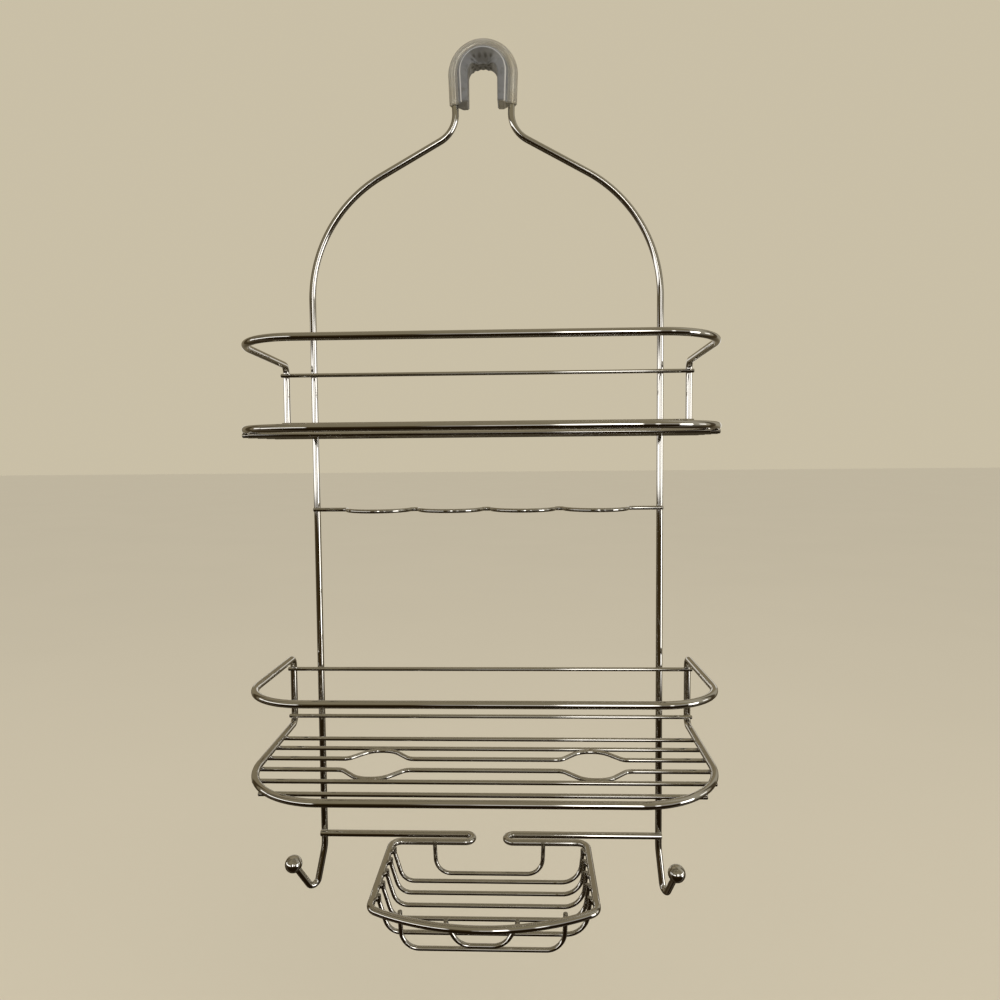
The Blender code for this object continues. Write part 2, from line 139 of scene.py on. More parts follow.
# Cross-wise directions that don't spiral: n = t x reference and b = t x n, turned back by the sum of the
# angles that n slips from one station to the next. On a closed path what is left over is spread evenly.
def crossWise(tangents, reference, closed=False):
    normal = unit(np.cross(tangents, reference))
    binormal = np.cross(tangents, normal)
    following = np.roll(normal, -1, 0)
    slip = np.arctan2((following * binormal).sum(1), (following * normal).sum(1))
    phase = np.r_[0, np.cumsum(slip)[:-1]]
    if closed:
        whole = slip.sum()
        left = whole - 2 * math.pi * round(whole / (2 * math.pi))
        phase = phase - left * np.arange(len(slip)) / len(slip)
    c, d = np.cos(-phase)[:, None], np.sin(-phase)[:, None]
    return normal * c + binormal * d, binormal * c - normal * d


# Mesh of point grids [row, around]: quads between neighbours, and a fan to the middle of each open end.
# Turned the right way out by the sign of its volume, the sum of a.(b x c)/6.
def gridMesh(name, grids, closeAlong=False, values=None, crease=38):
    points, quads, fans, fields, base = [], [], [], {}, 0
    for n, grid in enumerate(grids):
        rows, around = grid.shape[:2]
        index = base + np.arange(rows * around).reshape(rows, around)
        a = index if closeAlong else index[:-1]
        b = np.roll(index, -1, 0) if closeAlong else index[1:]
        quads.append(np.stack([a, np.roll(a, -1, 1), np.roll(b, -1, 1), b], -1).reshape(-1, 4))
        points.append(grid.reshape(-1, 3))
        base += rows * around
        for key, value in (values[n] if values else {}).items():
            fields.setdefault(key, []).append(value.reshape(rows * around, -1))
        for ring, atStart in () if closeAlong else ((0, True), (rows - 1, False)):
            points.append(grid[ring].mean(0)[None])
            for key, value in (values[n] if values else {}).items():
                fields[key].append(value[ring].reshape(around, -1).mean(0)[None])
            edge, following = index[ring], np.roll(index[ring], -1)
            pair = (following, edge) if atStart else (edge, following)
            fans.append(np.stack([*pair, np.full(around, base)], 1))
            base += 1
    points, quads = np.vstack(points), np.vstack(quads)
    tris = np.vstack([quads[:, [0, 1, 2]], quads[:, [0, 2, 3]]] + fans)
    a, b, c = (points[tris[:, k]] for k in range(3))
    if np.einsum("ij,ij->i", a, np.cross(b, c)).sum() < 0:
        quads, fans = quads[:, ::-1], [f[:, ::-1] for f in fans]
    mesh = bpy.data.meshes.new(name)
    mesh.from_pydata((points * mm).tolist(), [], quads.tolist() + [f for fan in fans for f in fan.tolist()])
    for key, chunks in fields.items():
        data = np.vstack(chunks).astype(np.float32)
        isVector = data.shape[1] == 3
        layer = mesh.attributes.new(key, "FLOAT_VECTOR" if isVector else "FLOAT", "POINT")
        layer.data.foreach_set("vector" if isVector else "value", data.ravel())
    mesh.shade_smooth()
    mesh.set_sharp_from_angle(angle=math.radians(crease))
    obj = bpy.data.objects.new(name, mesh)
    bpy.context.scene.collection.objects.link(obj)
    return obj


# Every piece hangs together as one body; a piece that stands for CAD nodes hides them.
def finishPiece(obj, materials, slot, *nodes):
    for material in materials:
        obj.data.materials.append(material)
    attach(obj, "root")
    if nodes:
        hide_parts(*nodes)
    return obj


class Nodes:
    # one node per call; each input is a constant or another node's socket
    def __init__(self, tree):
        self.tree = tree

    def add(self, kind, inputs=None, **settings):
        node = self.tree.nodes.new("ShaderNode" + kind)
        for key, value in settings.items():
            setattr(node, key, value)
        for key, value in (inputs or {}).items():
            if isinstance(value, bpy.types.NodeSocket):
                self.tree.links.new(value, node.inputs[key])
            else:
                node.inputs[key].default_value = value
        return node

    def math(self, operation, a, b=0.0, clamp=False):
        return self.add("Math", {0: a, 1: b}, operation=operation, use_clamp=clamp).outputs[0]

    def ramp(self, value, low, high, outLow=0.0, outHigh=1.0, kind="SMOOTHSTEP"):
        inputs = {0: value, 1: low, 2: high, 3: outLow, 4: outHigh}
        return self.add("MapRange", inputs, interpolation_type=kind).outputs[0]

    # 1 between low and high with soft sides
    def band(self, value, low, high, soft):
        rise = self.ramp(value, low - soft, low + soft)
        return self.math("MULTIPLY", rise, self.ramp(value, high - soft, high + soft, 1.0, 0.0))

    def mix(self, factor, a, b):
        node = self.add("Mix", {0: factor, 6: a, 7: b}, data_type="RGBA")
        return node.outputs[2]

    def noise(self, vector, scale, detail=3.0, roughness=0.5):
        return self.add("TexNoise", {"Vector": vector, "Scale": scale, "Detail": detail,
                                     "Roughness": roughness}).outputs[0]

    def mapped(self, vector, shift=(0, 0, 0), scale=(1, 1, 1)):
        return self.add("Mapping", {0: vector, 1: shift, 3: scale}).outputs[0]


chromeLook = {
    "plate": (0.66, 0.645, 0.615, 1),   # bright plate
    "haze": (0.52, 0.51, 0.485, 1),     # dried water film
    "heat": (0.30, 0.235, 0.165, 1),    # brown tint beside a weld
    "cut": (0.34, 0.335, 0.32, 1),      # thinly plated cut end
    "rough": 0.035,
    "hazeRough": 0.13,
    "hazeAmount": 0.45,
    "scratchDepth": 0.00000015,         # metres
    "bendDepth": 0.000045,              # metres
}


# Chrome: haze and spots by noise, fine lines drawn along the wire, rougher and browner by the welds
# and cut ends, and gently hammered where the wire was bent.
def chromeMaterial(name, look, seed):
    material = bpy.data.materials.new(name)
    material.use_nodes = True
    n = Nodes(material.node_tree)
    shader = material.node_tree.nodes["Principled BSDF"]
    shader.inputs["Metallic"].default_value = 1.0
    place = n.mapped(n.add("TexCoord").outputs["Object"], (seed, 0.3 * seed, 0.7 * seed))
    alongWire = n.add("Attribute", attribute_name="wireSpace").outputs["Vector"]
    heat = n.add("Attribute", attribute_name="weldHeat").outputs["Fac"]
    bend = n.add("Attribute", attribute_name="bendWork").outputs["Fac"]
    cut = n.add("Attribute", attribute_name="cutFace").outputs["Fac"]

    film = n.ramp(n.noise(place, 38, 4, 0.6), 0.50, 0.74)
    spots = n.ramp(n.noise(place, 420, 2, 0.5), 0.65, 0.72)
    haze = n.math("MAXIMUM", n.math("MULTIPLY", film, look["hazeAmount"]), n.math("MULTIPLY", spots, 0.35))
    drawn = n.noise(n.mapped(alongWire, scale=(5200, 5200, 26)), 1.0, 2, 0.6)
    lines = n.ramp(drawn, 0.56, 0.78)
    stain = n.math("MULTIPLY", heat, n.ramp(n.noise(place, 900, 3, 0.6), 0.36, 0.66))

    colour = n.mix(n.math("MULTIPLY", haze, 0.55), look["plate"], look["haze"])
    colour = n.mix(n.math("MULTIPLY", stain, 0.5), colour, look["heat"])
    colour = n.mix(n.math("MULTIPLY", cut, 0.8), colour, look["cut"])

    rough = n.ramp(haze, 0, 1, look["rough"], look["hazeRough"], "LINEAR")
    rough = n.math("ADD", rough, n.math("MULTIPLY", lines, 0.02))
    rough = n.math("ADD", rough, n.math("MULTIPLY", stain, 0.2))
    rough = n.math("ADD", rough, n.math("MULTIPLY", cut, 0.28), clamp=True)

    hammered = n.noise(n.mapped(alongWire, scale=(1, 1, 0.55)), 620, 1, 0.4)
    hammered = n.math("MULTIPLY", hammered, n.ramp(bend, 0, 1, 0.012, 1.0, "LINEAR"))
    first = n.add("Bump", {"Strength": 1.0, "Distance": look["bendDepth"], "Height": hammered})
    grain = n.math("ADD", drawn, n.math("MULTIPLY", n.noise(place, 2600, 1), 0.5))
    grain = n.add("Bump", {"Strength": 1.0, "Distance": look["scratchDepth"], "Height": grain,
                           "Normal": first.outputs[0]})
    n.tree.links.new(colour, shader.inputs["Base Color"])
    n.tree.links.new(rough, shader.inputs["Roughness"])
    n.tree.links.new(grain.outputs[0], shader.inputs["Normal"])
    return material


frameChrome = chromeMaterial("frame chrome", chromeLook, 0.0)
basketChrome = chromeMaterial("basket chrome", dict(chromeLook, hazeAmount=0.5), 1.7)
dishChrome = chromeMaterial("dish chrome", dict(chromeLook, hazeAmount=0.6, hazeRough=0.18), 4.1)
print("chrome ready")


# A row of joints at the given x, y, z (mm), each with the direction its bead is long in.
def jointRow(points, along):
    points = np.atleast_2d(np.asarray(points, float))
    return np.hstack([points, np.broadcast_to(unit(along), points.shape)])


basketShape = {
    "prefixes": ("upper_basket", "lower_basket"),
    "rise": 2.5,             # top rim, front above back
    "fall": 2.0,             # floor, front below back
    "topSetback": 15.0,      # the top rim is this much shallower than the floor
    "postBend": 6.0,
    "topCorner": 41.0,
    "floorCorner": 55.0,
    "floorWires": 6,
    "holeX": 74.5,           # bottle holes, from the middle
    "holeHalfWidth": 21.5,
    "crestHalfWidth": 8.0,
    "bulge": 14.0,
    "footBend": 8.0,
    "crestBend": 16.0,
    "holeSides": {3: 1.0, 4: -1.0},
}


# Basket rim: eight corners, each rounded by its bend, on the box of its CAD node.
def basketRimPath(node):
    low, high = span(node)
    half, front, back = high[0] - thick, low[1] + thick, high[1] - thick
    floorFront, topFront = low[2] + thick, high[2] - thick
    floor, top = floorFront + basketShape["fall"], topFront - basketShape["rise"]
    topY = front + basketShape["topSetback"]
    corners = [(half, back, floor), (half, back, top), (half, topY, topFront), (-half, topY, topFront),
               (-half, back, top), (-half, back, floor),
               (-half, front, floorFront), (half, front, floorFront)]
    bend, topCorner, floorCorner = (basketShape[k] for k in ("postBend", "topCorner", "floorCorner"))
    bends = [bend, bend, topCorner, topCorner, bend, bend, floorCorner, floorCorner]
    return bentPath(corners, bends, closed=True)


# Floor wire: straight between the rim's sides, or led round half of each bottle hole.
def floorWirePath(node, number):
    low, high = span(node)
    side = basketShape["holeSides"].get(number, 0.0)
    y = high[1] - thin if side < 0 else low[1] + thin
    z, end = (low[2] + high[2]) / 2 + pressed, high[0]
    corners, bends = [(-end, y, z)], [0]
    for x in (-basketShape["holeX"], basketShape["holeX"]) if side else ():
        crestY = y + side * basketShape["bulge"]
        foot, crest = basketShape["holeHalfWidth"], basketShape["crestHalfWidth"]
        corners += [(x - foot, y, z), (x - crest, crestY, z), (x + crest, crestY, z), (x + foot, y, z)]
        bends += [basketShape[k] for k in ("footBend", "crestBend", "crestBend", "footBend")]
    return bentPath(corners + [(end, y, z)], bends + [0])


# Cross wire: straight from end to end of its box, pressed back against the posts and rails.
def crossWirePath(node):
    low, high = span(node)
    middle = (low + high) / 2 + (0, pressed, 0)
    return np.array([[low[0], *middle[1:]], [high[0], *middle[1:]]])


razorShape = {"scallops": 4, "pitch": 54.8, "depth": 23.0, "returnBend": 3.5}


# Razor rail: big arcs that bow forward, each touching the tight return bends beside it.
def razorPath(node):
    low, high = span(node)
    y, z, end = high[1] - thin + pressed, (low[2] + high[2]) / 2, high[0]
    tight, half, count = razorShape["returnBend"], razorShape["pitch"] / 2, razorShape["scallops"]
    offset = tight - razorShape["depth"]
    radius = (half ** 2 + offset ** 2 - tight ** 2) / (2 * (tight - offset))
    arcY, tightY = y - razorShape["depth"] + radius, y - tight
    lean = math.atan2(arcY - tightY, half)
    runs = [np.array([[-end, y, z]])]
    for number in range(count + 1):
        x = (number - count / 2) * razorShape["pitch"]
        centre = np.array([x, tightY, z])
        quarter = math.pi / 2 - lean
        left = centre + np.array([-math.cos(lean), math.sin(lean), 0]) * tight
        start = centre + (0, tight, 0) if number == 0 else left
        runs.append(arcRun(centre, start, (0, 0, -1), quarter if number in (0, count) else 2 * quarter))
        if number < count:
            middle = np.array([x + half, arcY, z])
            touch = np.array([-math.cos(lean), -math.sin(lean), 0]) * radius
            runs.append(arcRun(middle, middle + touch, (0, 0, 1), math.pi - 2 * lean)[1:-1])
    return np.vstack(runs + [np.array([[end, y, z]])])


dishShape = {
    "hairpinX": 18.3,
    "hairpinBend": 5.5,
    "halfWidth": 74.0,
    "backCorner": 8.0,
    "frontCorner": 9.0,
    "frontBow": 19.3,
    "bowHalf": 64.0,         # the bow proper, between the front corners' bends
    "wires": 8,
    "shoulderDrop": 1.0,
    "shoulderBend": 9.0,
    "endWires": (1, 7),
    "endLegs": ((1.0, 12.0), (1.0, 12.0)),   # left and right: how far the foot comes in, and its bend
    "sideLegs": ((6.5, 11.0), (2.5, 15.0)),
    "lipLegs": ((8.5, 13.0), (8.5, 13.0)),
}


# y of the dish's bowed front: an arc through its two corners and its middle.
def dishFrontY(x, front):
    half, bow = dishShape["halfWidth"], dishShape["frontBow"]
    radius = (half ** 2 + bow ** 2) / (2 * bow)
    return front + radius - np.sqrt(radius ** 2 - np.square(x))


# Dish rim: rail, hairpin, back corner, side, front corner and half the bow, then the same mirrored.
def dishRimPath(node):
    low, high = span(node)
    z, end, back, front = (low[2] + high[2]) / 2, high[0], high[1] - thick, low[1] + thick
    bend, half = dishShape["hairpinBend"], dishShape["halfWidth"]
    centre = np.array([dishShape["hairpinX"], back - bend, z])
    hairpin = arcRun(centre, centre + (0, bend, 0), (0, 0, 1), math.pi)
    bowX = np.linspace(dishShape["bowHalf"], 0, 90)
    bow = np.stack([bowX, dishFrontY(bowX, front), np.full_like(bowX, z)], 1)
    corners = [hairpin[-1], (half, back - 2 * bend, z), (half, dishFrontY(half, front), z), bow[0]]
    loop = bentPath(corners, [0, dishShape["backCorner"], dishShape["frontCorner"], 0])
    right = np.vstack([[(end, back, z)], hairpin, loop[1:], bow[1:]])
    return np.vstack([right, (right * (-1, 1, 1))[::-1][1:]])


# Tray wire: a U that fills the box of its CAD node; below its welds the legs lean inward.
def trayWirePath(node, number):
    low, high = span(node)
    rimLow, rimHigh = span("dish_rim")
    half, y, top, bottom = high[0] - thin, (low[1] + high[1]) / 2, high[2], low[2] + thin
    shoulder = (rimLow[2] + rimHigh[2]) / 2 - dishShape["shoulderDrop"]
    kind = "endLegs" if number in dishShape["endWires"] else "sideLegs"
    kind = "lipLegs" if number == dishShape["wires"] else kind
    (leftLean, leftBend), (rightLean, rightBend) = dishShape[kind]
    bend = dishShape["shoulderBend"]
    corners = [(-half, y, top), (-half, y, shoulder), (leftLean - half, y, bottom),
               (half - rightLean, y, bottom), (half, y, shoulder), (half, y, top)]
    return bentPath(corners, [0, bend, leftBend, rightBend, bend, 0])


frameShape = {
    "archRadius": 21.7,
    "neckHalf": 20.2,
    "neckZ": -47.4,
    "neckBend": 22.0,
    "railHalf": 131.0,
    "shoulderZ": -108.3,
    "shoulderBend": 105.0,
    "splay": {-1: 48.0, 1: 20.0},   # degrees a hook turns outward, left and right
    "leanZ": -594.0,
    "leanBend": 36.0,
    "toeReach": 8.7,
    "toeZ": -630.0,
    "toeBend": 4.5,
    "ballReach": 26.4,
    "ballZ": -600.0,
    "ballRadius": 6.5,
    "socketDepth": 4.0,
}
archZ = span("main_frame")[1][2] - thick - frameShape["archRadius"]


# A point reach in front of the rail's foot, the way the hook points: x and y turned by the splay.
def hookPoint(side, reach, z):
    splay = math.radians(frameShape["splay"][side])
    return np.array([side * (frameShape["railHalf"] + reach * math.sin(splay)), -reach * math.cos(splay), z])


def hookAxis(side):
    toe = hookPoint(side, frameShape["toeReach"], frameShape["toeZ"])
    return unit(toe - hookPoint(side, frameShape["ballReach"], frameShape["ballZ"]))


# Main wire: hook, rail, shoulder and neck on each side, and a half circle over the arm.
def mainFramePath():
    radius, halves = frameShape["archRadius"], []
    for side in (1, -1):
        ball = hookPoint(side, frameShape["ballReach"], frameShape["ballZ"])
        tip = ball + hookAxis(side) * (frameShape["ballRadius"] - frameShape["socketDepth"] + weldGap)
        corners = [tip, hookPoint(side, frameShape["toeReach"], frameShape["toeZ"]),
                   hookPoint(side, 0, frameShape["leanZ"]),
                   (side * frameShape["railHalf"], 0, frameShape["shoulderZ"]),
                   (side * frameShape["neckHalf"], 0, frameShape["neckZ"]), (side * radius, 0, archZ)]
        bends = [0] + [frameShape[k] for k in ("toeBend", "leanBend", "shoulderBend", "neckBend")] + [0]
        halves.append(bentPath(corners, bends))
    arch = arcRun((0, 0, archZ), (radius, 0, archZ), (0, -1, 0), math.pi)
    return np.vstack([halves[0], arch[1:-1], halves[1][::-1]])


# Depth direction on the arch and rails, turning to the hook's own sideways direction at its foot.
def frameReference(points):
    angle = np.radians(np.where(points[:, 0] < 0, -frameShape["splay"][-1], frameShape["splay"][1]))
    sideways = np.stack([-np.cos(angle), -np.sin(angle), 0 * angle], 1)
    sideways = np.where(points[:, :1] < 0, -sideways, sideways)
    share = smooth(-points[:, 2:], 500, 570)
    return unit((0, 1, 0) * (1 - share) + sideways * share)


# Where wires cross: the middle of the gap between their surfaces.
joints, railHalf = {}, frameShape["railHalf"]
for prefix in basketShape["prefixes"]:
    half, rows = span(prefix + "_rim")[1][0] - thick, []
    touch = -(thick + weldGap - pressed / 2)
    for cross in ("_top_cross_wire", "_bottom_cross_wire"):
        z = span(prefix + cross)[0][2] + thin
        rows += [jointRow((x, touch, z), (1, 0, 0)) for x in (-half, half, -railHalf, railHalf)]
    for number in range(1, basketShape["floorWires"] + 1):
        path = floorWirePath(f"{prefix}_floor_wire_{number}", number)
        end = path[-1] - (2.0, 0, 0)
        z = end[2] + thin - (pressed - weldGap) / 2
        rows += [jointRow((x, end[1], z), (1, 0, 0)) for x in (-end[0], end[0])]
        if number in basketShape["holeSides"]:
            crest = path[np.argmax(np.abs(path[:, 1] - path[0, 1]))]
            y = crest[1] + basketShape["holeSides"][number] * (thin + weldGap / 2)
            holeX = basketShape["holeX"]
            rows += [jointRow((x, y, crest[2]), (1, 0, 0)) for x in (-holeX, holeX)]
    joints[prefix] = np.vstack(rows)

razorLow, razorHigh = span("razor_rail")
dishLow, dishHigh = span("dish_rim")
dishZ, dishFront = (dishLow[2] + dishHigh[2]) / 2, dishLow[1] + thick
joints["frame"] = np.vstack(
    [jointRow((x, -(thick + weldGap / 2), z), (1, 0, 0)) for x in (-railHalf, railHalf)
     for z in ((razorLow[2] + razorHigh[2]) / 2, dishZ)])
rows = []
for number in range(1, dishShape["wires"] + 1):
    low, high = span(f"dish_wire_{number}")
    x, y = high[0] - thin, (low[1] + high[1]) / 2
    if number == 1:
        y = high[1] + weldGap / 2
    elif number > 6:
        y = (y + dishFrontY(x, dishFront)) / 2 + (thick - thin) / 2 - 0.1
    else:
        x = high[0] + weldGap / 2
    rows += [jointRow((side * x, y, dishZ), (0, 0, 1)) for side in (-1, 1)]
joints["dish"] = np.vstack(rows)
allJoints = np.vstack(list(joints.values()))
print("joints placed,", len(allJoints))

wireMake = {"sidesThick": 30, "sidesThin": 20, "chamfer": 0.35, "heatReach": 2.6}


# Wire: a circle of the wire's radius carried along the path, p = centre + r*(n*cos + b*sin), with a
# small chamfer at each cut end. Heat falls off from the nearest weld as exp(-(d/reach)^2), and bend
# work grows with the square root of radius times curvature.
def wirePiece(name, path, radius, reference, material, closed=False):
    sides = wireMake["sidesThick"] if radius > 2 else wireMake["sidesThin"]
    near = allJoints[:, :3]
    centre, tangent, turn, along = stations(path, closed=closed, joints=near)
    reference = reference(centre) if callable(reference) else np.asarray(reference, float)
    normal, binormal = crossWise(tangent, reference, closed)
    if not closed:
        chamfer = wireMake["chamfer"]
        first, last = centre[0] + tangent[0] * chamfer, centre[-1] - tangent[-1] * chamfer
        centre = np.vstack([centre[[0, 0]], first, centre[1:-1], last, centre[[-1, -1]]])
        order = np.r_[0, 0, np.arange(len(along)), -1, -1]
        normal, binormal, turn, along = (a[order] for a in (normal, binormal, turn, along))
    reach, isCut = np.full(len(centre), radius), np.zeros(len(centre))
    if not closed:
        reach[[0, 1, -2, -1]] = radius - chamfer
        reach[[0, -1]] *= 0.5
        isCut[[0, 1, -2, -1]] = 1
    angle = np.linspace(0, 2 * math.pi, sides, endpoint=False)
    spoke = normal[:, None] * np.cos(angle)[:, None] + binormal[:, None] * np.sin(angle)[:, None]
    grid = centre[:, None] + reach[:, None, None] * spoke
    distance = np.linalg.norm(grid.reshape(-1, 1, 3) - near[None], axis=2).min(1).reshape(grid.shape[:2])
    folded = np.abs(along - along[-1] / 2) if closed else along
    shape = (len(centre), sides)
    wireSpace = np.stack([np.broadcast_to(reach[:, None] * np.cos(angle), shape),
                          np.broadcast_to(reach[:, None] * np.sin(angle), shape),
                          np.broadcast_to(folded[:, None] + 37.0 * (len(name) % 11), shape)], -1) * mm
    values = {"wireSpace": wireSpace, "weldHeat": np.exp(-(distance / wireMake["heatReach"]) ** 2),
              "bendWork": np.broadcast_to(np.clip(1.2 * np.sqrt(radius * turn), 0, 1)[:, None], shape),
              "cutFace": np.broadcast_to(isCut[:, None], shape)}
    obj = gridMesh(name, [grid], closeAlong=closed, values=[values])
    return finishPiece(obj, [material], "chrome_wire", name.replace("bent_", ""))


wirePiece("bent_main_frame", mainFramePath(), thick, frameReference, frameChrome)
wirePiece("bent_razor_rail", razorPath("razor_rail"), thin, (0, 0, 1), frameChrome)
print("frame and razor rail bent")
for prefix in basketShape["prefixes"]:
    rimPath = basketRimPath(prefix + "_rim")
    wirePiece(f"bent_{prefix}_rim", rimPath, thick, (1, 1, 1), basketChrome, closed=True)
    for cross in ("_top_cross_wire", "_bottom_cross_wire"):
        wirePiece("bent_" + prefix + cross, crossWirePath(prefix + cross), thin, (0, 0, 1), basketChrome)
    for number in range(1, basketShape["floorWires"] + 1):
        node = f"{prefix}_floor_wire_{number}"
        wirePiece("bent_" + node, floorWirePath(node, number), thin, (0, 0, 1), basketChrome)
    print(prefix, "bent")
wirePiece("bent_dish_rim", dishRimPath("dish_rim"), thick, (0, 0, 1), dishChrome)
for number in range(1, dishShape["wires"] + 1):
    node = f"dish_wire_{number}"
    wirePiece("bent_" + node, trayWirePath(node, number), thin, (0, 1, 0), dishChrome)
print("soap dish bent")

beadShape = {"long": 1.9, "wide": 1.5, "high": 1.1, "power": 2.3, "uneven": 0.12, "rows": 7, "around": 14}


# Weld beads: a rounded lump at each joint, |t|^p + (r/w)^p = 1 along its length, made uneven by two
# slow waves whose phases differ from bead to bead.
def weldBeads(name, rows, material, seed):
    pick = np.random.default_rng(seed)
    centre, along = rows[:, None, None, :3], rows[:, None, None, 3:]
    up = np.where(np.abs(along[..., 2:]) > 0.5, (0.0, 1.0, 0.0), (0.0, 0.0, 1.0))
    sideways = unit(np.cross(along, up))
    up = np.cross(sideways, along)
    t = np.sin(np.linspace(-1.35, 1.35, beadShape["rows"]))[None, :, None, None]
    angle = np.linspace(0, 2 * math.pi, beadShape["around"], endpoint=False)[None, None, :, None]
    girth = (1 - np.abs(t) ** beadShape["power"]) ** (1 / beadShape["power"])
    phase = pick.uniform(0, 6.28, (2, len(rows), 1, 1, 1))
    size = pick.uniform(0.85, 1.15, (len(rows), 1, 1, 1))
    wave = np.sin(2 * angle + 3 * t + phase[0]) + 0.6 * np.sin(3 * angle - 2 * t + phase[1])
    wave = 1 + beadShape["uneven"] * wave
    body = sideways * np.cos(angle) * beadShape["wide"] + up * np.sin(angle) * beadShape["high"]
    grid = centre + size * (along * t * beadShape["long"] + body * girth * wave)
    local = (grid - centre) * mm
    shape = grid.shape[1:3]
    values = [{"wireSpace": one, "weldHeat": np.full(shape, 0.8), "bendWork": np.full(shape, 0.5),
               "cutFace": np.zeros(shape)} for one in local]
    obj = gridMesh(name, list(grid), values=values, crease=80)
    return finishPiece(obj, [material], "chrome_wire")


weldBeads("upper_basket_welds", joints["upper_basket"], basketChrome, 11)
weldBeads("lower_basket_welds", joints["lower_basket"], basketChrome, 12)
weldBeads("frame_welds", joints["frame"], frameChrome, 13)
weldBeads("dish_welds", joints["dish"], dishChrome, 14)
print("welds laid")

ballShape = {"around": 48, "lip": 3.25, "lipWidth": 0.45, "bore": 2.62}


# Hook ball: a profile (distance along the hook, radius) turned about the hook's axis. Sphere, then a
# small rolled lip where the wire enters, then the bore and its floor.
def hookBall(side, name):
    radius, lip = frameShape["ballRadius"], ballShape["lip"]
    edge = math.asin((lip + ballShape["lipWidth"]) / radius)
    polar = np.linspace(math.pi - 0.06, edge, 34)
    sphere = np.stack([radius * np.cos(polar), radius * np.sin(polar)], 1)
    roll = np.linspace(0.35, math.pi, 8)
    lipRise = radius * math.cos(edge) - 0.08
    rolled = np.stack([lipRise + ballShape["lipWidth"] * np.sin(roll),
                       lip + ballShape["lipWidth"] * np.cos(roll)], 1)
    floor = radius - frameShape["socketDepth"] + 0.05
    wall = ballShape["bore"]
    bore = np.array([[lipRise - 0.2, wall], [floor + 0.3, wall], [floor, 2.3], [floor, 0.6]])
    profile = np.vstack([sphere, rolled, bore])
    axis = hookAxis(side)
    sideways = unit(np.cross(axis, (0, 0, 1)))
    up = np.cross(sideways, axis)
    angle = np.linspace(0, 2 * math.pi, ballShape["around"], endpoint=False)
    ring = sideways * np.cos(angle)[:, None] + up * np.sin(angle)[:, None]
    centre = hookPoint(side, frameShape["ballReach"], frameShape["ballZ"])
    grid = centre + axis * profile[:, :1, None] + profile[:, 1:, None] * ring[None]
    shape = grid.shape[:2]
    values = {"wireSpace": (grid - centre) * mm, "weldHeat": np.zeros(shape), "cutFace": np.zeros(shape),
              "bendWork": np.full(shape, 0.12)}
    obj = gridMesh("turned_" + name, [grid], values=[values], crease=50)
    return finishPiece(obj, [frameChrome], "chrome_wire", name)


hookBall(-1, "left_hook_ball")
hookBall(1, "right_hook_ball")
print("hook balls turned")

gripShape = {
    "tube": 4.1,
    "bore": 2.62,
    "depth": 15.0,         # front to back
    "edgeRound": 1.3,
    "linerStart": 4.7,     # from the wire's centre to the liner's outer edge
    "legZ": -29.0,
    "throatHalf": 10.7,
    "throatBend": 8.0,
    "endRound": 0.8,
    "seam": 0.12,
    "nubHeight": 0.55,
    "nubReach": 1.25,
    "crownSlope": 0.8,     # share of the depth the roof's front edge sits back at the crown
}
vinylLook = {
    "tube": {"base": (0.80, 0.78, 0.72, 1), "cloudy": (0.74, 0.70, 0.60, 1), "clear": 0.72,
             "rough": 0.10, "milk": 0.0, "dusty": 0.12},
    "liner": {"base": (0.185, 0.187, 0.195, 1), "cloudy": (0.235, 0.237, 0.235, 1), "clear": 0.12,
              "rough": 0.36, "milk": 0.2, "dusty": 0.45},
    "edge": (0.86, 0.85, 0.82, 1),       # painted highlight: pale colour painted along the liner's edge where it meets the tube
    # dark colour of the nubs, also used as painted shade on the roof's slope towards the crown
    "nubAndPaintedShade": (0.085, 0.083, 0.075, 1),
    "dust": (0.12, 0.115, 0.10, 1),
}


# Soft vinyl: slow cloudiness, dust in patches, a painted highlight along the liner's edge, darker nubs with
# painted shade on the roof towards the crown, and a faintly pebbled skin.
def vinylMaterial(name, kind):
    look = vinylLook[kind]
    material = bpy.data.materials.new(name)
    material.use_nodes = True
    n = Nodes(material.node_tree)
    shader = material.node_tree.nodes["Principled BSDF"]
    shader.inputs["Transmission Weight"].default_value = look["clear"]
    shader.inputs["IOR"].default_value = 1.46
    shader.inputs["Subsurface Weight"].default_value = look["milk"]
    shader.inputs["Subsurface Radius"].default_value = (0.003, 0.0028, 0.0025)
    shader.inputs["Subsurface Scale"].default_value = 1.0
    place = n.add("TexCoord").outputs["Object"]
    # mask of the painted highlight along the liner's edge
    edge = n.add("Attribute", attribute_name="paintedEdgeHighlight").outputs["Fac"]
    nubAndPaintedShade = n.add("Attribute", attribute_name="nubAndPaintedShade").outputs["Fac"]
    cloud = n.ramp(n.noise(place, 70, 3, 0.6), 0.35, 0.68)
    colour = n.mix(cloud, look["base"], look["cloudy"])
    patches = n.math("MULTIPLY", n.ramp(n.noise(place, 240, 4, 0.6), 0.52, 0.70), look["dusty"])
    colour = n.mix(patches, colour, vinylLook["dust"])
    # darker nubs, and painted shade on the roof's slope towards the crown
    colour = n.mix(n.math("MULTIPLY", nubAndPaintedShade, 0.9), colour, vinylLook["nubAndPaintedShade"])
    # painted highlight: the pale edge colour is mixed in along the liner's edge
    colour = n.mix(edge, colour, vinylLook["edge"])
    rough = n.ramp(n.noise(place, 260, 3, 0.6), 0.3, 0.7, look["rough"] - 0.04, look["rough"] + 0.08)
    bump = n.add("Bump", {"Strength": 1.0, "Distance": 0.000004, "Height": n.noise(place, 1300, 2, 0.5)})
    n.tree.links.new(colour, shader.inputs["Base Color"])
    n.tree.links.new(rough, shader.inputs["Roughness"])
    n.tree.links.new(bump.outputs[0], shader.inputs["Normal"])
    return material


# Points on an arc in the plane: centre + r*(cos, sin).
def arc2(centre, radius, start, end, count):
    t = np.linspace(start, end, count)
    return np.stack([centre[0] + radius * np.cos(t), centre[1] + radius * np.sin(t)], 1)


